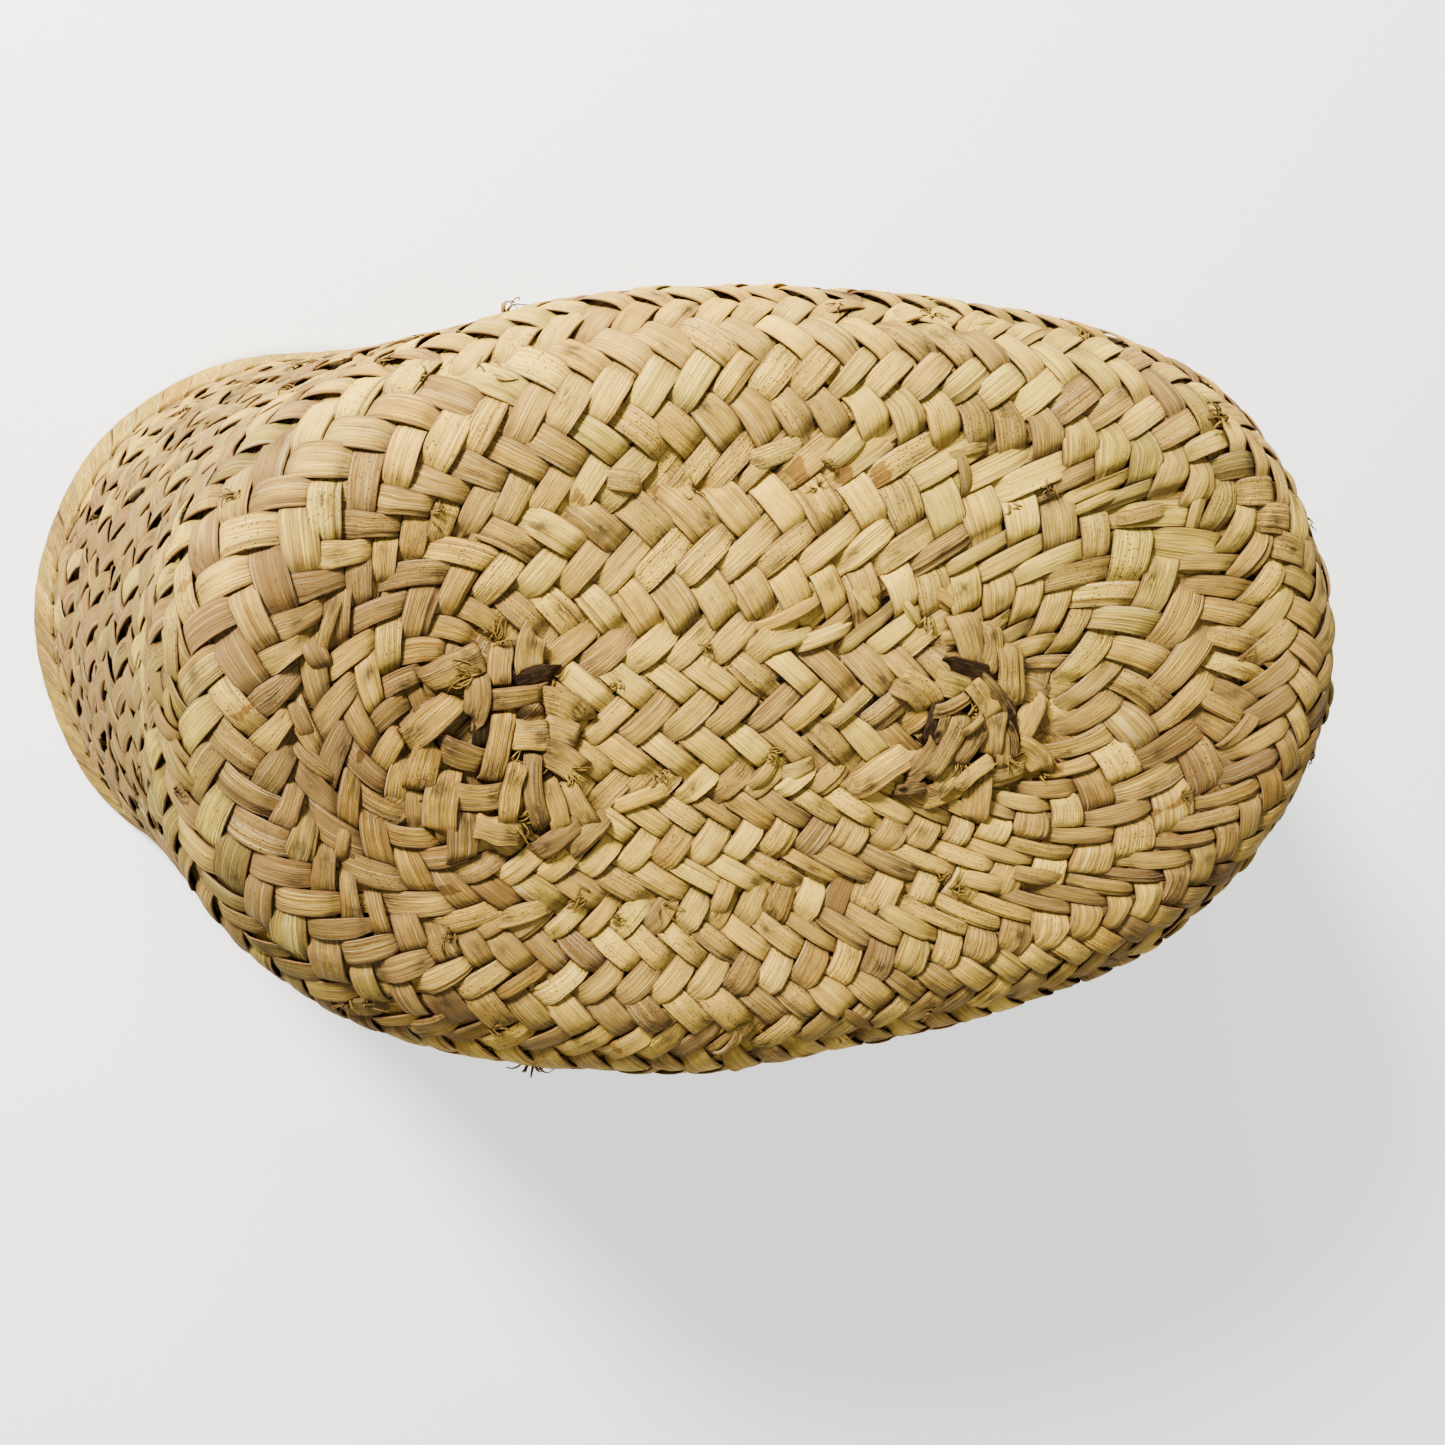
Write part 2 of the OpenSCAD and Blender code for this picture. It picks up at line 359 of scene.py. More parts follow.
def strips(leaves, place, count, pitch, lean, width_mm, reach, torn=None,
           keep=None, bulge=1.1, wave=WAVE):
    """One family of strips of a plait, leaning one way, 1 or -1.

    place(s, w, off) maps length along the plait, width across it and
    height to a point. The family that leans back, -1, floats over both
    seams. reach(s) gives how many rows each strip goes past the seams."""
    row = width_mm / ROWS
    slope = pitch / row
    s0 = (np.arange(count) + (0.5 if lean < 0 else 0.0))[:, None] * pitch
    first = s0[:, 0]
    start, _ = reach(first)
    _, end = reach(first + lean * width_mm * slope)
    u = np.linspace(0, 1, ALONG)[None, :]
    w = mix(-start[:, None] * row, width_mm + end[:, None] * row, u)
    x = w / row
    s = s0 + lean * w * slope + wander(count, ALONG, 0.42, (0.7, 1.7))
    s = s + rng.normal(0, 0.28, (count, 1))
    beat = x + wander(count, ALONG, 0.035, (1.0, 2.0))
    if lean > 0:
        beat = np.clip(beat, 0.0, ROWS)
    c = np.cos(np.pi * beat) * -lean
    # a float dives before it reaches the strip that it goes under
    up = np.tanh(3.6 * (c - 0.16))
    # each float has its own swell, light, tilt and smudge
    idx = np.round(x / 2 + (0.5 if lean > 0 else 0)).astype(int) + 1
    idx = np.clip(idx, 0, FLOATS - 1)

    def own(draw):
        return np.take_along_axis(draw, idx, 1)

    swell = np.tanh(1.9 * np.clip(c, 0, 1)) * np.clip(c * 4, 0, 1)
    high = own(rng.normal(0, 1, (count, FLOATS)))
    wide = own(rng.normal(0, 1, (count, FLOATS)))
    off = wave * up + swell * (0.18 + 0.22 * high) + 0.16 * np.clip(c, 0, 1) ** 2
    # the plait is a little full between its seams
    off = off + bulge * (1 - (2 * np.clip(x / ROWS, 0, 1) - 1) ** 2) - 0.5 * bulge
    # hidden ends go down under the next turn's floats
    at_start = (start[:, None] < 0.3) * smooth((0.85 - x) / 0.3)
    at_end = (end[:, None] < 0.3) * smooth((x - ROWS + 0.85) / 0.3)
    hidden = (lean < 0) * np.maximum(at_start, at_end)
    off = mix(off, np.minimum(off, -wave - 0.2), hidden)
    half = STRIP / 2 * rng.normal(1.03, 0.055, (count, 1)) * (1 + 0.05 * wide * swell)
    thin = rng.random((count, 1)) < 0.06
    half = half * np.where(thin, 0.74, 1.0) * (1 - 0.07 * (1 - swell))
    half = half * (1 + wander(count, ALONG, 0.035, (1.0, 2.3)))
    twist = wander(count, ALONG, 0.10, (0.5, 1.3))
    twist = twist + 0.13 * own(rng.normal(0, 1, (count, FLOATS)))
    yy, sect, line = cross_section(count)
    y = yy[:, None, :]
    ds = half[:, :, None] * y / math.sqrt(2)
    # ends of floats pinch askew
    askew = own(rng.normal(0, 0.10, (count, FLOATS))) * (1 - swell)
    S = s[:, :, None] + ds
    Wd = w[:, :, None] - lean * ds / slope * (1 + askew[:, :, None])
    # one edge may stand up, as a leaf's dry edge curls
    curl = own(rng.choice([0, 0, 0, 0, 0.3, 0.6, 1.0], (count, FLOATS)))[:, :, None]
    side = own(rng.choice([-1, 1], (count, FLOATS)))[:, :, None]
    curl = curl * swell[:, :, None] * np.clip(y * side - 0.4, 0, 1) ** 2 * 2.2
    H = off[:, :, None] + sect[:, None, :] + curl + twist[:, :, None] * y
    top = place(S, Wd, H)
    low = place(S[:, :, LOWER], Wd[:, :, LOWER], H[:, :, LOWER] - LEAF)
    along = w * math.sqrt(1 + slope ** 2)
    num = (np.arange(count) + number[0]) * APART + (3.7 if lean < 0 else 0)
    number[0] += count
    leaf = np.empty(top.shape)
    leaf[..., 0] = y
    leaf[..., 1] = along[:, :, None]
    leaf[..., 2] = num[:, None, None]
    light, hue = drift(top[:, :, 4:5])
    tone = np.empty(top.shape)
    # painted shade: a float is darker towards its ends, where it dives under the strip that
    # crosses it, and towards its long edges; it is lighter where it rises higher
    tone[..., 0] = (light + rng.normal(0, 0.17, (count, 1, 1)) + 0.11 * high[:, :, None]
                    - 0.16 * (1 - swell[:, :, None]) - 0.10 * np.abs(y) ** 3)
    tone[..., 1] = hue + rng.normal(0, 0.30, (count, 1, 1)) + 0.10 * wide[:, :, None]
    # smudges, mostly near a float's end, and painted shade where floats come out from under the
    # strips that cross them
    at = own(rng.uniform(-0.42, 0.42, (count, FLOATS)))
    rel = np.mod(x + (1 if lean < 0 else 0), 2) - 1
    black = own(rng.choice([0, 0, 0, 0, 0, 0, 0, 0.7, 0.9, 1.0], (count, FLOATS)))
    black = black * np.exp(-((rel - at) / 0.19) ** 2) * (c > -0.1)
    across_at = rng.uniform(-0.5, 0.5, (count, 1, 1))
    float_end_shade = np.exp(-((c - 0.1) / 0.30) ** 2) * np.clip(0.35 + 0.3 * wide, 0, 1)
    tone[..., 2] = np.maximum(black[:, :, None] * np.exp(-((y - across_at) / 0.55) ** 2),
                              0.55 * float_end_shade[:, :, None])
    mark = np.zeros(top.shape)
    mark[..., 0] = line[:, None, :]
    odd = own((rng.random((count, FLOATS)) < 0.02) * 1.0) * np.exp(-((rel - at) / 0.11) ** 4)
    if torn is not None:
        odd = np.maximum(odd, torn(s, x, lean))
    mark[..., 1] = odd[:, :, None] * (y < rng.uniform(0.1, 0.9, (count, 1, 1)))
    mark[..., 2] = rng.choice([0.05, 0.2, 0.6, 1.0], (count, 1, 1))
    if keep is not None:
        good = keep(s[:, ALONG // 2])
        top, low, leaf, tone, mark = (v[good] for v in (top, low, leaf, tone, mark))
    leaves.add(top, low, leaf, tone, mark)


def ribbon(leaves, path, up, half, light=0.0, hue=0.0, stain_and_shade=0.2,
           thick=LEAF, crown=0.5, twist=0.0, plain=False):
    """A free strip along path, (n, 3) points in mm, with its face
    towards up, (n, 3) or one vector."""
    path = np.asarray(path, float)
    n = len(path)
    up = np.broadcast_to(np.asarray(up, float), (n, 3))
    tan = np.gradient(path, axis=0)
    tan /= np.linalg.norm(tan, axis=1, keepdims=True) + 1e-9
    side = np.cross(tan, up)
    side /= np.linalg.norm(side, axis=1, keepdims=True) + 1e-9
    nor = np.cross(side, tan)
    ang = np.linspace(-0.5, 0.5, n)[:, None] * twist
    side, nor = (side * np.cos(ang) + nor * np.sin(ang),
                 nor * np.cos(ang) - side * np.sin(ang))
    half = np.broadcast_to(half, (n,))[:, None, None]
    if plain:
        y, sect, line = ACROSS_AT, CROWN * 2, np.zeros(ACROSS)
    else:
        y, sect, line = (v[0] for v in cross_section(1))
    top = (path[:, None] + side[:, None] * half * y[None, :, None]
           + nor[:, None] * (sect[None, :, None] * crown * 2))
    low = top[:, LOWER] - nor[:, None] * thick
    leaf = np.empty(top.shape)
    leaf[..., 0] = y
    along = np.concatenate([[0], np.cumsum(np.linalg.norm(np.diff(path, axis=0), axis=1))])
    leaf[..., 1] = along[:, None]
    number[0] += 1
    leaf[..., 2] = number[0] * APART
    dl, dh = drift(path)
    u = np.linspace(0, 1, n)
    tone = np.empty(top.shape)
    # painted shade: darker towards both ends, where the strip goes out of sight
    tone[..., 0] = (light + dl - 0.22 * np.abs(2 * u - 1) ** 3)[:, None]
    tone[..., 1] = (hue + dh)[:, None]
    spot = np.exp(-((u - rng.choice([0.2, 0.75])) / 0.14) ** 2)
    # a stain of more than 1 adds darkness all over the strip: painted shade for the knot floats
    # that stand for a hollow
    tone[..., 2] = stain_and_shade * (0.25 + 0.75 * spot[:, None] * np.exp(
        -((y - rng.uniform(-0.4, 0.4)) / 0.6) ** 2)) + max(stain_and_shade - 1, 0)
    mark = np.zeros(top.shape)
    mark[..., 0] = line
    mark[..., 2] = rng.choice([0.1, 0.4, 0.9])
    leaves.add(top[None], low[None], leaf[None], tone[None], mark[None])


def bezier(points, n=18):
    """A smooth curve through a control polygon of any length."""
    p = np.asarray(points, float)
    t = np.linspace(0, 1, n)[:, None]
    d = len(p) - 1
    return sum(math.comb(d, k) * (1 - t) ** (d - k) * t ** k * p[k]
               for k in range(d + 1))


# ---------------------------------------------------------------- materials
class Nodes:
    """Short names for building a node tree."""

    def __init__(self, name):
        self.mat = bpy.data.materials.new(name)
        self.mat.use_nodes = True
        self.tree = self.mat.node_tree
        self.tree.nodes.clear()

    def add(self, kind, **props):
        node = self.tree.nodes.new(kind)
        for key, value in props.items():
            setattr(node, key, value)
        return node

    def put(self, value, target):
        if isinstance(value, bpy.types.NodeSocket):
            self.tree.links.new(value, target)
        else:
            target.default_value = value

    def math(self, op, a, b=0.0, c=0.0, clamp=False):
        node = self.add("ShaderNodeMath", operation=op, use_clamp=clamp)
        for k, v in enumerate((a, b, c)):
            self.put(v, node.inputs[k])
        return node.outputs[0]

    def span(self, value, a, b, c=0.0, d=1.0):
        node = self.add("ShaderNodeMapRange")
        for k, v in enumerate((value, a, b, c, d)):
            self.put(v, node.inputs[k])
        return node.outputs[0]

    def mix(self, kind, fac, a, b):
        node = self.add("ShaderNodeMix", data_type="RGBA", blend_type=kind)
        self.put(fac, node.inputs[0])
        for v, k in ((a, 6), (b, 7)):
            if isinstance(v, tuple) and len(v) == 3:
                v = (*v, 1.0)
            self.put(v, node.inputs[k])
        return node.outputs[2]

    def noise(self, vector, scale, detail=2.0, rough=0.5):
        node = self.add("ShaderNodeTexNoise")
        self.put(vector, node.inputs["Vector"])
        node.inputs["Scale"].default_value = scale
        node.inputs["Detail"].default_value = detail
        node.inputs["Roughness"].default_value = rough
        return node.outputs["Fac"]

    def join(self, x, y, z):
        node = self.add("ShaderNodeCombineXYZ")
        for k, v in enumerate((x, y, z)):
            self.put(v, node.inputs[k])
        return node.outputs[0]


PALE = (0.80, 0.530, 0.080)
STRAW = (0.465, 0.291, 0.052)
TAN = (0.20, 0.112, 0.034)
GREEN = (0.40, 0.314, 0.050)
ROSE = (0.48, 0.264, 0.034)
EDGE = (0.16, 0.080, 0.032)
DARK = (0.042, 0.025, 0.013)
TORN = (0.20, 0.090, 0.018)


def palm(name, light=0.0, hue=0.0, dirt_and_shade=1.0, sheen=0.08):
    """Dry palm leaf: fibres and veins along the strip, brown edges,
    small specks, fold lines, smudges and torn patches, with painted
    shade between strips, at float ends and in the knots' hollows."""
    g = Nodes(name)
    parts = []
    for key in ("leaf", "tone", "mark"):
        at = g.add("ShaderNodeAttribute", attribute_name=key)
        sep = g.add("ShaderNodeSeparateXYZ")
        g.put(at.outputs["Vector"], sep.inputs[0])
        parts += list(sep.outputs)
    across, along, num, tone_light, tone_hue, stain_and_shade_at, line, torn, speckled = parts

    def grain(a, b, detail, rough):
        return g.noise(g.join(g.math("MULTIPLY", across, a),
                              g.math("MULTIPLY", along, b), num), 1.0, detail, rough)
    fine = grain(20.0, 0.10, 3.0, 0.65)
    fibre = grain(9.0, 0.045, 2.0, 0.6)
    broad = grain(2.2, 0.05, 2.0, 0.5)
    blotch = grain(1.1, 0.17, 3.0, 0.55)

    level = g.math("ADD", tone_light, 0.58 + light)
    for tex, much in ((broad, 0.50), (fibre, 0.95), (fine, 1.10), (blotch, 0.55)):
        level = g.math("ADD", level, g.math("MULTIPLY", g.math("SUBTRACT", tex, 0.5), much))
    level = g.math("ADD", level, 0.0, clamp=True)
    ramp = g.add("ShaderNodeValToRGB")
    ramp.color_ramp.elements[0].position = 0.0
    ramp.color_ramp.elements[0].color = (*TAN, 1)
    ramp.color_ramp.elements[1].position = 0.92
    ramp.color_ramp.elements[1].color = (*PALE, 1)
    mid = ramp.color_ramp.elements.new(0.48)
    mid.color = (*STRAW, 1)
    g.put(level, ramp.inputs[0])
    colour = ramp.outputs[0]
    hue_v = g.math("ADD", tone_hue, hue)
    shade = g.mix("MIX", level, (0.36, 0.36, 0.40), (1.62, 1.60, 1.25))
    colour = g.mix("MIX", g.span(hue_v, 0.05, 1.0, 0.0, 0.62), colour,
                   g.mix("MULTIPLY", 1.0, shade, GREEN))
    colour = g.mix("MIX", g.span(hue_v, -0.05, -1.0, 0.0, 0.60), colour,
                   g.mix("MULTIPLY", 1.0, shade, ROSE))

    ragged = g.math("ADD", g.math("ABSOLUTE", across), g.math("MULTIPLY", g.math(
        "SUBTRACT", blotch, 0.5), 0.25))
    colour = g.mix("MIX", g.span(ragged, 0.87, 0.99, 0.0, 0.85), colour, EDGE)
    colour = g.mix("MIX", g.span(line, 0.35, 0.9, 0.0, 0.8), colour, EDGE)
    vein = grain(9.0, 0.018, 1.0, 0.5)
    colour = g.mix("MULTIPLY", g.span(vein, 0.60, 0.74, 0.0, 0.75), colour, (0.50, 0.40, 0.28))
    colour = g.mix("SCREEN", g.span(vein, 0.42, 0.28, 0.0, 0.40), colour, (0.55, 0.45, 0.22))

    # specks in loose rows, on some strips many and on some few
    cell = g.add("ShaderNodeTexVoronoi", feature="F1")
    g.put(g.join(g.math("MULTIPLY", across, 5.2), g.math("MULTIPLY", along, 1.10), num),
          cell.inputs["Vector"])
    cell.inputs["Scale"].default_value = 1.0
    chance = g.add("ShaderNodeSeparateColor")
    g.put(cell.outputs["Color"], chance.inputs[0])
    size = g.span(g.math("ADD", chance.outputs[0], g.math("MULTIPLY", speckled, 0.75)),
                  0.55, 1.6, 0.0, 0.31)
    speck = g.math("LESS_THAN", cell.outputs["Distance"], size)
    colour = g.mix("MIX", g.math("MULTIPLY", speck, 0.85), colour, (0.09, 0.040, 0.012))

    # torn patches show the brown under-skin
    tear = g.span(g.math("ADD", torn, g.math("MULTIPLY", g.math("SUBTRACT", blotch, 0.5), 2.4)),
                  0.55, 0.75)
    colour = g.mix("MIX", g.math("MULTIPLY", tear, 0.85), colour,
                   g.mix("MULTIPLY", 1.0, shade, TORN))

    # smudges, and the painted shade at float ends and in knot hollows, are streaked along the
    # fibres
    patch = grain(5.0, 0.30, 4.0, 0.65)
    stain_and_shade = g.math("MULTIPLY", g.span(patch, 0.34, 0.54), g.math(
        "MULTIPLY", stain_and_shade_at, 1.25 * dirt_and_shade, clamp=True))
    colour = g.mix("MIX", g.math("MULTIPLY", stain_and_shade, 0.85, clamp=True), colour, DARK)
    # near black where the stain passes 0.95: the knot floats painted as the shade of the hollow,
    # and the darkest smudges
    colour = g.mix("MULTIPLY", g.span(stain_and_shade_at, 0.95, 1.35, 0.0, 0.9), colour, (0.10, 0.08, 0.07))

    # painted shade: darker in the depth between strips, by ambient occlusion
    occ = g.add("ShaderNodeAmbientOcclusion", samples=8)
    occ.inputs["Distance"].default_value = 0.0018
    colour = g.mix("MULTIPLY", 1.0, colour, g.mix(
        "MIX", g.span(occ.outputs["AO"], 0.28, 0.80), (0.055, 0.032, 0.018), (1, 1, 1)))

    shader = g.add("ShaderNodeBsdfPrincipled")
    g.put(colour, shader.inputs["Base Color"])
    g.put(g.span(g.math("ADD", fine, g.math("MULTIPLY", stain_and_shade, 0.5)), 0.25, 0.9, 0.58, 0.88),
          shader.inputs["Roughness"])
    shader.inputs["Specular IOR Level"].default_value = sheen
    relief = g.math("ADD", g.math("MULTIPLY", fine, 0.45), g.math("MULTIPLY", fibre, 0.85))
    relief = g.math("ADD", relief, g.math("MULTIPLY", blotch, 0.5))
    relief = g.math("SUBTRACT", relief, g.math("MULTIPLY", speck, 0.15))
    bump = g.add("ShaderNodeBump")
    bump.inputs["Strength"].default_value = 0.9
    bump.inputs["Distance"].default_value = 0.0008
    g.put(relief, bump.inputs["Height"])
    g.put(bump.outputs[0], shader.inputs["Normal"])
    out = g.add("ShaderNodeOutputMaterial")
    g.put(shader.outputs[0], out.inputs[0])
    return g.mat


# ---------------------------------------------------------------- turns
def turn_place(t0, ring):
    """How the turn that starts t0 from the centre lies on the shell."""
    lowest = TOTAL - 1.5                # no strip ends below the rim's edge

    def place(s, w, off):
        q = ring.at(s)
        return shell(q, np.minimum(drawn_in(q, t0 + w), lowest), off)
    return place


def lies_over(k, q):
    """Whether the inner turn's strips lie over seam k at q, or the
    outer turn's."""
    a = q * np.pi / 2
    return np.sin(3 * a + 1.7 * k) + 0.7 * np.sin(8 * a + 2.9 * k * k + 1) > -0.1


# Loose ends that stand up on the bend: quarters round, mm from the
# centre, how many fibres and how long.
LOOSE = ((0.90, 103.0, 8, 8.0), (3.13, 142.0, 9, 9.0), (3.17, 140.0, 9, 9.0),
         (3.19, 144.0, 9, 9.0), (1.85, 150.0, 7, 8.0))


# A tear in the first turn: quarters round and rows out, and how far it
# reaches each way.
TEAR_AT, TEAR_REACH = (1.56, 3.68), (0.2, 0.13)


def build_turn(k, name, material):
    """Turn k of the plait, counted from the centre plait."""
    t0 = SEAMS[k - 1]
    ring = Ring(t0 + TURN / 2)
    count = round(ring.length / PITCH)
    pitch = ring.length / count
    leaves = Leaves()

    def torn(s, x, lean):
        around = np.abs(ring.at(s) - TEAR_AT[0]) < TEAR_REACH[0]
        outward = np.abs(x - TEAR_AT[1]) < TEAR_REACH[1]
        return (k == 1) * (lean < 0) * around * outward * 1.0

    for lean in (1, -1):
        def reach(s, lean=lean):
            q = ring.at(s)
            wild = rng.normal(0, 0.05, s.shape)
            if lean > 0:
                return 0.3 + wild, 0.3 + wild
            inner = np.where(lies_over(k - 1, q), 0.0, OVER_SEAM) + wild
            outer = np.where(lies_over(k, q) & (k < TURNS), OVER_SEAM, 0.0) + wild
            return inner, outer
        strips(leaves, turn_place(t0, ring), count, pitch, lean, TURN, reach, torn,
               wave=WAVE if k < FIRST_WALL_TURN else WALL_WAVE)
    # the last turn, beside the folded rim, has half as many odd leaves
    seam = ring.length if k < TURNS else 0.5 * ring.length
    seam_extras(leaves, k - 1, round(seam / TUCK_EVERY), round(seam / FRAY_EVERY))
    if k == FIRST_WALL_TURN - 1:
        for q, t, count, length in LOOSE:
            p = shell(q, drawn_in(q, t), 1.4)
            up = shell(q, drawn_in(q, t), 2.4) - p
            fray(leaves, p, up, count, length, -0.2, 3.0)
    return leaves.build(name, material, [name])


def centre_to_world(p):
    """From the centre plait's own axes to the basket's."""
    x, y = p[..., 0], p[..., 1]
    c, s = math.cos(CENTRE_TURN), math.sin(CENTRE_TURN)
    wx, wy = x * c - y * s + CENTRE[0], x * s + y * c + CENTRE[1]
    return np.stack([wx, wy, p[..., 2] + uneven(wx, wy, HEIGHT)], -1)


def centre_edges():
    """The two seams of the centre plait, in its own axes."""
    out = []
    for q0 in (1.0, 3.0):
        q = np.linspace(q0, q0 + 1, 60)
        p = smooth_shell(q, drawn_in(q, np.full(60, HALF_PLAIT)), 0.0)[:, :2] - CENTRE
        c, s = math.cos(CENTRE_TURN), math.sin(CENTRE_TURN)
        x, y = p[:, 0] * c + p[:, 1] * s, p[:, 1] * c - p[:, 0] * s
        order = np.argsort(x)
        out.append((x[order], y[order]))
    return out


def build_centre(material):
    """The straight plait between the knots, with its two round ends."""
    length = 2 * (KNOT_REACH + 12)
    count = round(length / PITCH)
    pitch = length / count
    (ux, uy), (lx, ly) = centre_edges()

    def place(s, w, off):
        x = s - length / 2
        y = mix(np.interp(x, ux, uy), np.interp(x, lx, ly), w / PLAIT_WIDTH)
        return centre_to_world(np.stack(np.broadcast_arrays(
            x, y, HEIGHT - HALF_THICK + off), -1))

    leaves = Leaves()
    for lean in (1, -1):
        def reach(s, lean=lean):
            q_up = 1.5 - (s - length / 2) / 140
            q_low = 3.5 + (s - length / 2) / 140
            if lean > 0:
                return np.full(s.shape, 0.1), np.full(s.shape, 0.1)
            return (np.where(lies_over(0, q_up), OVER_SEAM, 0.0),
                    np.where(lies_over(0, q_low), OVER_SEAM, 0.0))
        strips(leaves, place, count, pitch, lean, PLAIT_WIDTH, reach,
               keep=lambda s: (s > 4) & (s < length - 4), bulge=0.7)
    # round ends of the plait, where its strips fan about the knots
    for end in (-1, 1):
        fan(leaves, end)
        for float_ in (TIGHT if end > 0 else GATHERED):
            if is_low(float_):
                short_leaf(leaves, end, *float_)
    return leaves.build("centre_plait", material, ["centre_plait"])


def fan(leaves, end):
    """Strips that sweep round the end of the centre plait."""
    n = 9
    for lean in (1, -1):
        for i in range(n):
            a0 = math.radians(mix(-104, 104, (i + 0.5 * (lean > 0)) / (n - 1)))
            r = np.linspace(5.0, HALF_PLAIT + 1.2, 16)
            swing = lean * 0.85 * np.log(r / 5.0)
            ang = a0 + swing - lean * 0.5
            wave = np.cos(np.pi * ((r - 5) / 11.5 + 0.25 * (i % 2))) * lean
            h = HEIGHT - HALF_THICK + 0.8 * wave - 1.2 * smooth((r - 20) / 3.5)
            p = np.stack([end * KNOT_REACH + end * r * np.cos(ang),
                          r * np.sin(ang), h], -1)
            ribbon(leaves, centre_to_world(p), (0, 0, 1),
                   np.clip(r * 0.27, 1.6, 4.6), rng.normal(-0.2, 0.12),
                   rng.normal(0, 0.2), 0.9, crown=0.35,
                   twist=rng.normal(0, 0.12))


# ---------------------------------------------------------------- knots
def knot_point(end, x, y, z):
    """From a knot's own axes to the basket's. End 1 is the tight knot,
    which sits a little aside, and end -1 the gathered knot."""
    aside = -4.0 if end > 0 else 0.0
    p = np.array([end * KNOT_REACH + x + aside, y + aside, HEIGHT + z], float)
    return centre_to_world(p)


def short_leaf(leaves, end, x, y, deg, length, half, rise, hollow_shade):
    """One short float of a knot: flat, and both its ends go out of sight."""
    a = math.radians(deg + rng.normal(0, 3))
    n = 24
    f = np.linspace(-0.53, 0.53, n)
    turn = a + rng.normal(0, 0.22) * f
    px, py = x + length * f * np.cos(turn), y + length * f * np.sin(turn)
    pz = rise + 0.5 * (1 - 4 * f ** 2) - 2.6 * np.abs(2 * f) ** 9 + wander(1, n, 0.15, (1, 2))[0]
    path = np.array([knot_point(end, *p) for p in zip(px, py, pz)])
    tilt = rng.normal(0, 0.16, 2)
    shape = half * (0.96 + 0.06 * np.sin(np.linspace(0.0, np.pi, n))
                    + wander(1, n, 0.035, (1, 2))[0])
    # painted shade: the darker a float's last column, the nearer black it is painted, as the
    # shade of the knot's hollow
    ribbon(leaves, path, (tilt[0], tilt[1], 1), shape,
           rng.normal(-0.06, 0.15) - 0.6 * hollow_shade, rng.normal(-0.02, 0.28), 0.9 + 0.9 * hollow_shade,
           crown=0.4, twist=rng.normal(0, 0.3))


# The floats of the two knots, in mm from each knot's middle: place,
# direction in degrees, length, half width, rise and darkness, which paints
# a float as the shade of the knot's hollow.
TIGHT = ((-25, -10, 30, 20, 4.2, 0.6, 0), (-16, 12, -35, 15, 4.6, 0.8, 0),
         (-5, 13, -20, 11, 3.8, 1.4, 0), (0, 24, -65, 20, 4.5, 0.8, 0),
         (7, 23, 88, 15, 3.4, 0.6, 0), (13, 15, 85, 19, 4.2, 1.4, 0),
         (18, 0, 62, 17, 3.8, 0.8, 0), (21, -8, -40, 15, 4.0, 0.8, 0),
         (13, -13, 15, 15, 4.0, 0.7, 0), (4, -20, 88, 15, 4.2, 0.6, 0),
         (-6, -18, 20, 15, 3.6, 0.8, 0), (-13, -19, -25, 14, 3.4, 0.6, 0),
         (0, 17, -10, 14, 3.0, 1.0, 1), (-10, 3, 75, 15, 3.0, 1.2, 1),
         (12, 2, -75, 17, 2.8, 1.4, 1), (0, 0, 60, 18, 7.0, 0.4, 1),
         (0, -11, 25, 15, 3.0, 0.8, 1), (9, 9, -50, 18, 2.1, 2.6, 0.4),
         (4, 9, -48, 14, 3.0, 2.6, 0), (-6, 8, 22, 12, 2.0, 3.0, 0),
         (-9, 3, 72, 11, 1.4, 3.0, 0.5), (7, -1, 82, 14, 3.4, 2.8, 0),
         (11, -4, -80, 16, 2.6, 2.2, 0), (14, -3, -82, 12, 1.2, 3.0, 0.5),
         (2, -12, 30, 16, 2.5, 2.6, 0), (-5, -13, 60, 13, 2.9, 1.8, 0),
         (-13, -8, 52, 14, 3.0, 1.8, 0), (-16, -16, 10, 10, 1.6, 2.0, 0.5),
         (-7, -4, 63, 21, 3.1, 3.8, 0), (0, -4, 60, 14, 2.7, 3.4, 0.3),
         (0, 2, 40, 9, 1.4, 4.8, 0))
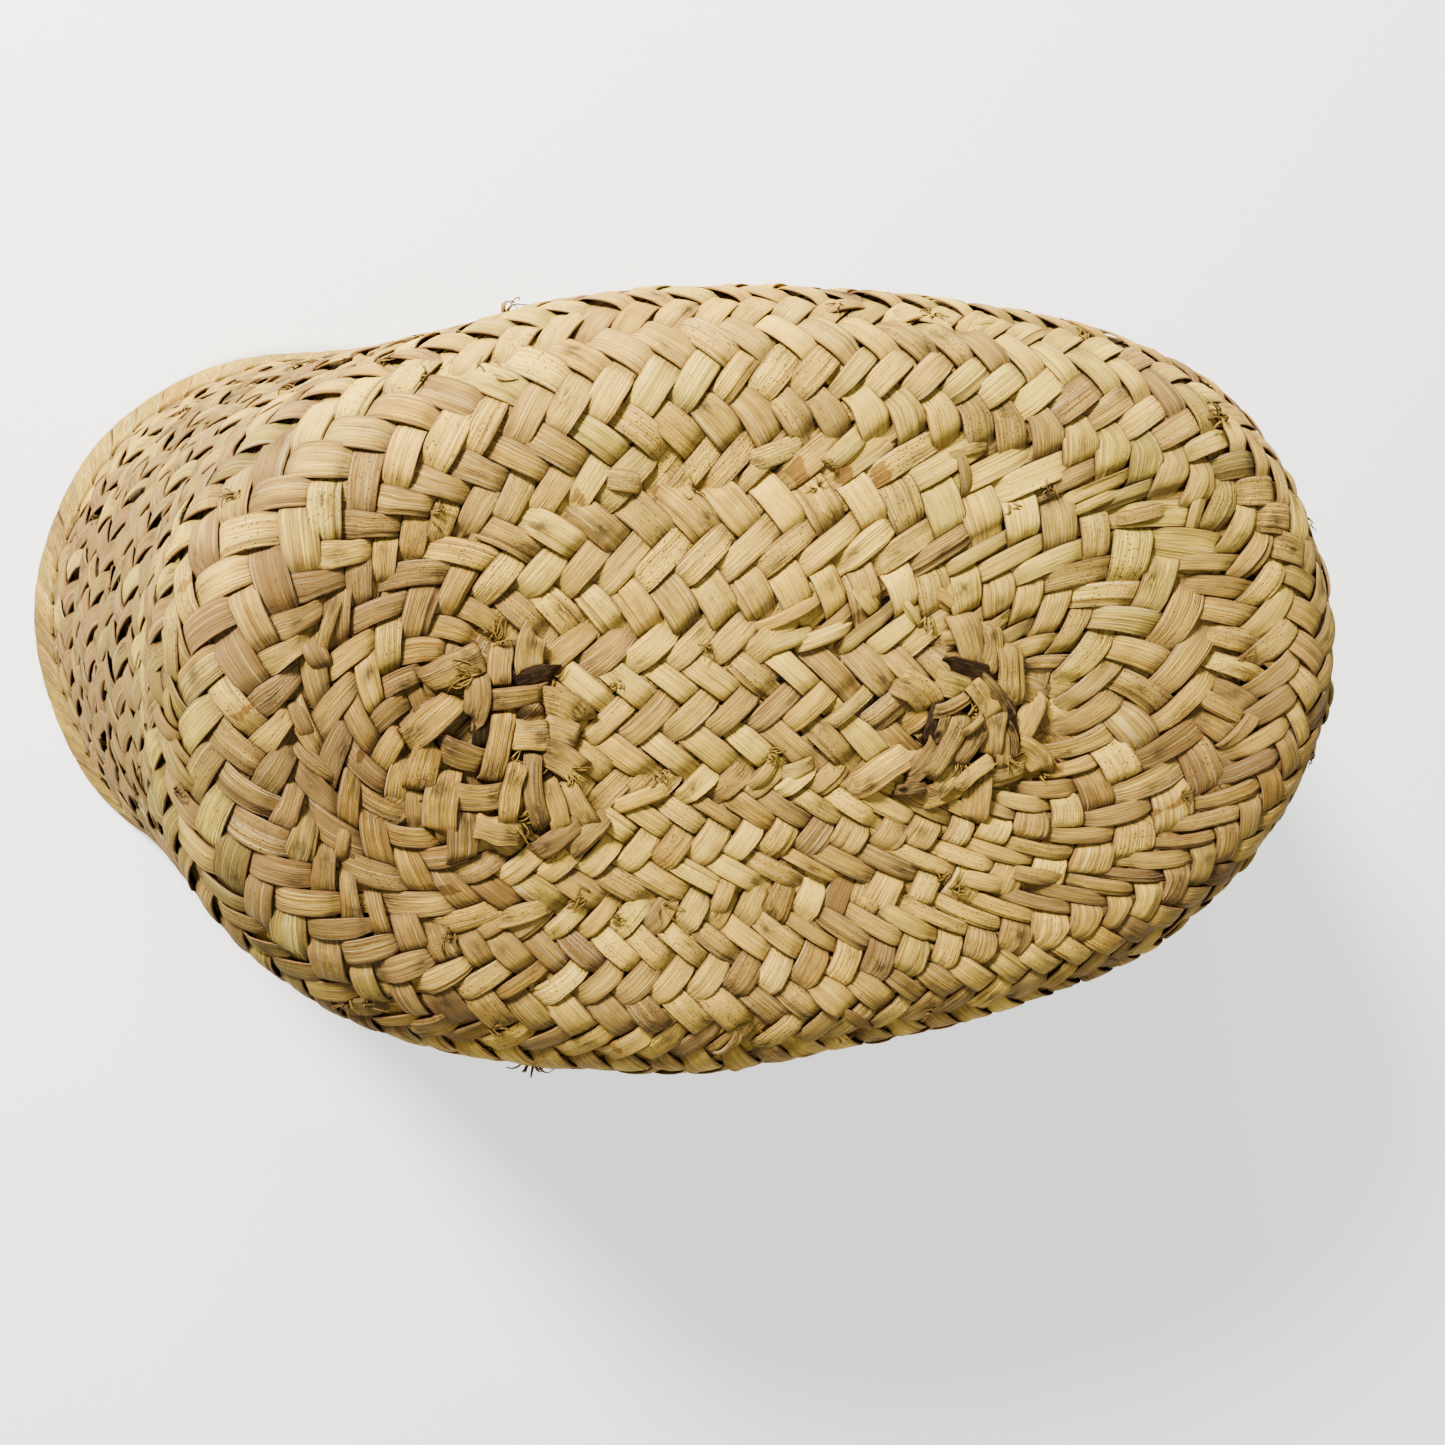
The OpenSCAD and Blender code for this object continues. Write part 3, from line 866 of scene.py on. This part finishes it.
GATHERED = ((7, 21, 88, 12, 3.8, 1.0, 0), (-1, 18, 86, 12, 3.2, 1.0, 0),
            (-13, 18, 17, 17, 4.0, 1.4, 0), (8, 15, 8, 12, 2.9, 0.9, 1),
            (15, 0, -20, 11, 4.0, 1.2, 0), (16, 7, -30, 13, 4.4, 1.8, 0),
            (15, -7, -30, 14, 4.0, 1.6, 0), (-21, -7, 72, 14, 4.0, 1.4, 0),
            (-11, -5, -20, 14, 3.8, 1.3, 0), (-17, -17, 86, 17, 4.4, 1.6, 0),
            (-11, -26, 88, 15, 4.2, 1.2, 0), (-19, 5, 40, 17, 3.9, 2.0, 0),
            (22, -28, 38, 15, 3.0, 1.0, 0), (14, -28, 32, 16, 3.0, 1.5, 0),
            (19, -20, -58, 15, 3.2, 1.4, 0), (-5, 3, 80, 14, 3.0, 0.9, 1),
            (3, -8, 80, 14, 3.4, 0.9, 1), (10, -18, 80, 16, 2.6, 0.9, 1),
            (13, -19, -75, 16, 3.0, 2.0, 0), (-2, -25, -15, 14, 3.6, 2.2, 0),
            (-7, -16, -8, 15, 3.6, 2.2, 0), (-7, 10, 85, 12, 3.4, 2.2, 0),
            (6, 0, -3, 13, 4.0, 2.4, 0), (3, 10, 8, 16, 2.8, 2.4, 0),
            (-2, -3, 78, 19, 3.2, 3.0, 0), (7, -15, -85, 22, 2.6, 2.8, 0),
            (1, -15, 80, 18, 2.7, 3.6, 0))


def is_low(float_):
    """Whether a float beside a knot still belongs to the plait."""
    x, y, _, _, _, rise, hollow_shade = float_
    return rise < 1.3 and not hollow_shade and math.hypot(x, y) > 10


def build_knot(name, end, floats, frayed, material):
    """A knot of short floats, the darkest of them painted as the shade of its hollow, with torn
    fibres.
    """
    leaves = Leaves()
    for float_ in floats:
        if not is_low(float_):
            short_leaf(leaves, end, *float_)
    for x, y in frayed:
        p = knot_point(end, x, y, 2.0)
        fray(leaves, p, np.array([0, 0, 1.0]), 13, 6.5, 0.1)
    return leaves.build(name, material, [name])


def fray(leaves, at, up, count, length, light=-0.1, loose=1.0):
    """A tuft of torn fibres that lies loosely over the leaf at a point."""
    flat = np.cross(up, (0.3, 0.9, 0.2))
    flat /= np.linalg.norm(flat)
    other = np.cross(up, flat)
    main = rng.uniform(0, 2 * math.pi)
    for _ in range(count):
        a = main + rng.normal(0, 0.7)
        way = flat * math.cos(a) + other * math.sin(a)
        swerve = flat * math.cos(a + 1.4) + other * math.sin(a + 1.4)
        size = length * rng.uniform(0.5, 1.1)
        start = at + (flat * rng.normal(0, 0.8) + other * rng.normal(0, 0.8))
        lift = loose * rng.uniform(0.3, 1.6)
        pts = [start - up * 0.8, start + way * size * 0.35 + up * lift,
               start + way * size * 0.75 + swerve * rng.normal(0, 1.3) + up * lift * 0.9,
               start + way * size + swerve * rng.normal(0, 1.8) + up * rng.uniform(-0.3, lift)]
        ribbon(leaves, bezier(pts, 9), up, np.linspace(0.30, 0.10, 9) * loose ** 0.5,
               light + rng.normal(0, 0.15), -0.45, 0.3, thick=0.18, crown=0.05,
               twist=rng.normal(0, 1.0), plain=True)


def seam_extras(leaves, k, tucks, frays):
    """Odd leaves tucked in over seam k, and frayed spots beside it."""
    t = SEAMS[k]
    ring = Ring(t)

    def spot(s, dt, off):
        q = ring.at(s)
        return shell(q, drawn_in(q, t + dt), off)
    for _ in range(tucks):
        s0 = rng.uniform(0, ring.length)
        a = math.radians(rng.choice([rng.uniform(150, 170), rng.uniform(115, 150),
                                     rng.uniform(15, 60)]))
        length = rng.uniform(11, 19)
        dt0 = rng.normal(0, 3.0)
        f = np.array([-0.52, -0.42, -0.2, 0.2, 0.42, 0.52])
        lift = rng.uniform(1.6, 2.6)
        off = np.array([-1.0, lift * 0.7, lift, lift, lift * 0.7, -1.0])
        bend = rng.normal(0, 0.2)
        S = s0 + length * f * np.cos(a + bend * f)
        D = dt0 + length * f * np.sin(a + bend * f)
        path = bezier(spot(S, D, off), 18)
        q = ring.at(s0)
        up = shell(q, t, 1.0) - shell(q, t, 0.0)
        half = rng.uniform(1.5, 3.2) * (0.85 + 0.15 * np.sin(np.linspace(0, np.pi, 18)))
        ribbon(leaves, path, up / np.linalg.norm(up), half, rng.normal(0, 0.18),
               rng.normal(0, 0.3), rng.choice([0.1, 0.3, 0.9]), crown=0.8,
               twist=rng.normal(0, 0.35))
    for _ in range(frays):
        s0, dt = rng.uniform(0, ring.length), rng.normal(0, 7.0)
        q = ring.at(s0)
        p = spot(s0, dt, 1.3)
        up = spot(s0, dt, 2.3) - p
        fray(leaves, p, up, int(rng.integers(4, 9)), rng.uniform(2.5, 5.5))


# ---------------------------------------------------------------- rim
def build_rim(material):
    """Strip ends folded over the mouth's edge, one leaf over the next."""
    t_end = TOTAL - 0.5
    t_top = HALF_PLAIT + TURNS * TURN - 5.0
    ring = Ring(TOTAL - RIM_HEIGHT / 2)
    count = round(ring.length / PITCH)
    pitch = ring.length / count
    leaves = Leaves()
    n = 26
    f = np.linspace(-1, 1, n)                # inside, edge, outside
    deep = t_end - t_top
    for i in range(count):
        jit = rng.normal(0, 0.4)
        t = t_end - deep * smooth(np.abs(f) * 1.04) * (0.96 + 0.03 * rng.normal())
        h = 1.75 * np.tanh(f * 3.2) + 0.25
        h = h - 0.9 * smooth((np.abs(f) - 0.82) / 0.18) * np.sign(f)
        s = i * pitch + jit + f * (deep * 0.75)
        # a leaf's width runs along the rim, and it leans over the next
        half = STRIP / 2 * (1.06 + 0.05 * rng.normal())
        y = ACROSS_AT[None, :]
        S = s[:, None] + half * y / math.sqrt(2) * 1.95
        edge = np.exp(-(f / 0.22) ** 2)[:, None]
        T = t[:, None] - half * y / math.sqrt(2) * 0.45 * np.sign(f)[:, None] * (1 - edge)
        T = np.minimum(T, TOTAL - 0.25)
        H = h[:, None] + (y * 0.85 + CROWN[None] * 0.9) * np.tanh(f * 3)[:, None]
        q = ring.at(S)
        # the edge rolls out, most at the end beyond the gathered knot
        roll = 1.2 + 3.6 * np.exp(-((q - 2.4) / 0.8) ** 2)
        H = H + roll * np.clip((T - t_top) / deep, 0, 1) ** 1.5
        top = shell(q, T, H)
        inward = np.tanh(f * 3.0)[:, None] * 0.7
        low = shell(q[:, LOWER], np.maximum(T[:, LOWER] - edge * 0.7, 0),
                    H[:, LOWER] - inward)
        leaf = np.empty(top.shape)
        leaf[..., 0] = y
        leaf[..., 1] = (f * deep * 1.5)[:, None]
        number[0] += 1
        leaf[..., 2] = number[0] * APART
        dl, dh = drift(top[:, 4])
        tone = np.empty(top.shape)
        tone[..., 0] = (dl + rng.normal(0.02, 0.13))[:, None]
        tone[..., 1] = (dh + rng.normal(0.15, 0.25))[:, None]
        tone[..., 2] = 0.35
        leaves.add(top[None], low[None], leaf[None], tone[None])
    return leaves.build("rim_edge", material, ["rim_edge"])


# ---------------------------------------------------------------- lacing
PLY_RADIUS, PLY_OUT = 0.8, 0.68     # a ply, and how far it is from the cord's middle
PLY_SIDES = 6
PLY_STEP = 2.4                      # from one ring of points to the next
CORD_PITCH = 9.0                    # length of one full turn of the plies


def build_lacing(k, material):
    """Two-ply cord along the inside of seam k."""
    t = HALF_PLAIT + (k - 1) * TURN
    ring = Ring(t)
    n = int(ring.length / PLY_STEP)
    s = np.linspace(0, ring.length, n, endpoint=False)
    off = -HALF_THICK - 1.5
    q = ring.at(s)
    mid = shell(q, drawn_in(q, t), off)
    out = shell(q, drawn_in(q, t), off + 1) - mid
    out /= np.linalg.norm(out, axis=1, keepdims=True)
    tan = np.roll(mid, -1, 0) - np.roll(mid, 1, 0)
    tan /= np.linalg.norm(tan, axis=1, keepdims=True)
    side = np.cross(tan, out)
    turns = round(ring.length / CORD_PITCH)
    verts, faces, leaf = [], [], []
    for ply in range(2):
        ph = 2 * np.pi * (turns * np.arange(n) / n) + ply * np.pi
        c = mid + PLY_OUT * (out * np.cos(ph)[:, None] + side * np.sin(ph)[:, None])
        base = len(verts) * n * PLY_SIDES
        ang = 2 * np.pi * np.arange(PLY_SIDES) / PLY_SIDES
        r = PLY_RADIUS + 0.05 * rng.normal(size=(n, 1, 1))
        v = c[:, None] + r * (out[:, None] * np.cos(ang)[None, :, None]
                              + side[:, None] * np.sin(ang)[None, :, None])
        verts.append(v.reshape(-1, 3))
        i = np.arange(n)[:, None]
        j = np.arange(PLY_SIDES)[None]
        here, there = base + i * PLY_SIDES, base + (i + 1) % n * PLY_SIDES
        j2 = (j + 1) % PLY_SIDES
        faces.append(np.stack([here + j, there + j, there + j2, here + j2],
                              -1).reshape(-1, 4))
        lf = np.empty((n, PLY_SIDES, 3))
        lf[..., 0] = np.sin(ang)
        lf[..., 1] = s[:, None]
        lf[..., 2] = ply * 5.0 + k
        leaf.append(lf.reshape(-1, 3))
    me = bpy.data.meshes.new(f"lacing_{k}")
    me.from_pydata((np.concatenate(verts) * MM).tolist(), [],
                   np.concatenate(faces).tolist())
    me.polygons.foreach_set("use_smooth", np.ones(len(me.polygons), bool))
    at = me.attributes.new("leaf", "FLOAT_VECTOR", "POINT")
    at.data.foreach_set("vector", np.concatenate(leaf).astype(np.float32).ravel())
    tone = np.tile([-0.1, 0.0, 0.3], (len(me.vertices), 1))
    at = me.attributes.new("tone", "FLOAT_VECTOR", "POINT")
    at.data.foreach_set("vector", tone.astype(np.float32).ravel())
    me.materials.append(material)
    ob = bpy.data.objects.new(f"lacing_{k}.cord", me)
    bpy.context.scene.collection.objects.link(ob)
    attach(ob, "root")
    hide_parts(f"lacing_{k}")


# ---------------------------------------------------------------- build
build_centre(palm("palm_centre", -0.02, -0.02))
build_turn(1, "base_turn_1", palm("palm_base_1"))
build_turn(2, "base_turn_2", palm("palm_base_2"))
build_turn(3, "bend_turn", palm("palm_bend", -0.04, -0.03, sheen=0.03))
# painted shade: the wall turns' palm is painted darker than the base's
build_turn(4, "wall_turn_1", palm("palm_wall_1", -0.22, 0.0, sheen=0.03))
build_turn(5, "wall_turn_2", palm("palm_wall_2", -0.22, 0.0, sheen=0.03))
build_turn(6, "wall_turn_3", palm("palm_wall_3", -0.22, 0.0, sheen=0.03))
build_rim(palm("palm_rim", -0.06, 0.05, sheen=0.03))
build_knot("tight_knot", 1, TIGHT, ((0, 4), (-3, -7), (5, 3), (-9, -14), (12, -8)),
           palm("palm_tight_knot", -0.04, -0.05, 1.2))
build_knot("gathered_knot", -1, GATHERED,
           ((9, -9), (2, -22), (17, -10), (-8, 16), (0, -8), (-2, 25)),
           palm("palm_gathered_knot", -0.04, -0.08, 1.2))
cord = palm("palm_cord", -0.2, -0.1)
for k in range(1, TURNS + 1):
    build_lacing(k, cord)

# ---------------------------------------------------------------- stage
FLOOR_GLOW, FLOOR_SIDE = 1.0, 40.0
floor_mat = Nodes("floor_white")
shader = floor_mat.add("ShaderNodeBsdfPrincipled")
shader.inputs["Base Color"].default_value = (0.94, 0.94, 0.94, 1)
shader.inputs["Roughness"].default_value = 0.9
shader.inputs["Emission Color"].default_value = (1, 1, 1, 1)
# the floor glows softly, except where the basket stands over it
place_at = floor_mat.add("ShaderNodeSeparateXYZ")
floor_mat.put(floor_mat.add("ShaderNodeTexCoord").outputs["Object"], place_at.inputs[0])
past = floor_mat.math("MAXIMUM", floor_mat.math("SUBTRACT", floor_mat.math(
    "ABSOLUTE", place_at.outputs[0]), MOUTH_A * MM))
aside = floor_mat.math("MULTIPLY", place_at.outputs[1], MOUTH_R / (MOUTH_R + MOUTH_BOW))
far = floor_mat.add("ShaderNodeVectorMath", operation="LENGTH")
floor_mat.put(floor_mat.join(past, aside, 0.0), far.inputs[0])
floor_mat.put(floor_mat.span(far.outputs["Value"], MOUTH_R * MM * 0.98, MOUTH_R * MM,
                             0.0, FLOOR_GLOW), shader.inputs["Emission Strength"])
floor_mat.put(shader.outputs[0], floor_mat.add("ShaderNodeOutputMaterial").inputs[0])
bpy.ops.mesh.primitive_plane_add(size=FLOOR_SIDE, location=(0, 0, 0))
floor = bpy.context.object
floor.name = "floor"
floor.data.materials.append(floor_mat.mat)


def lamp(name, at, aim, size, power, colour):
    data = bpy.data.lights.new(name, "AREA")
    data.shape = "DISK"
    data.size = size
    data.energy = power
    data.color = colour
    ob = bpy.data.objects.new(name, data)
    ob.location = at
    ob.rotation_euler = (Vector(aim) - Vector(at)).to_track_quat("-Z", "Y").to_euler()
    bpy.context.scene.collection.objects.link(ob)


lamp("key", (-0.78, 1.12, 0.90), (0, 0, 0.1), 0.34, 108, (1.0, 0.96, 0.88))
lamp("top", (-0.3, 1.4, 0.75), (0, 0.05, 0.18), 0.5, 14, (1.0, 0.97, 0.92))
lamp("fill", (0.2, -0.6, 1.6), (0, 0, 0.1), 1.6, 7, (1.0, 0.99, 0.97))

world = bpy.data.worlds.new("studio")
world.use_nodes = True
world.node_tree.nodes["Background"].inputs[0].default_value = (1, 1, 1, 1)
world.node_tree.nodes["Background"].inputs[1].default_value = 0.30
bpy.context.scene.world = world

# ---------------------------------------------------------------- camera
CAMERA_AT = Vector((-0.1444, 0.0856, 0.597))
CAMERA_AIM = Vector((-0.0305, -0.0018, 0.206))
CAMERA_ROLL = math.radians(0.8)
LENS_MM, SENSOR_MM = 38.2, 36.0
cam_data = bpy.data.cameras.new("camera")
cam_data.sensor_width = SENSOR_MM
cam_data.lens = LENS_MM
cam_data.clip_start = 0.01
cam = bpy.data.objects.new("camera", cam_data)
look = (CAMERA_AIM - CAMERA_AT).normalized()
right = look.cross(Vector((0, 1, 0))).normalized()
lens_up = right.cross(look)
turn = Matrix.Rotation(CAMERA_ROLL, 3, look)
axes = Matrix((turn @ right, turn @ lens_up, -look)).transposed()
cam.matrix_world = Matrix.Translation(CAMERA_AT) @ axes.to_4x4()
bpy.context.scene.collection.objects.link(cam)
bpy.context.scene.camera = cam
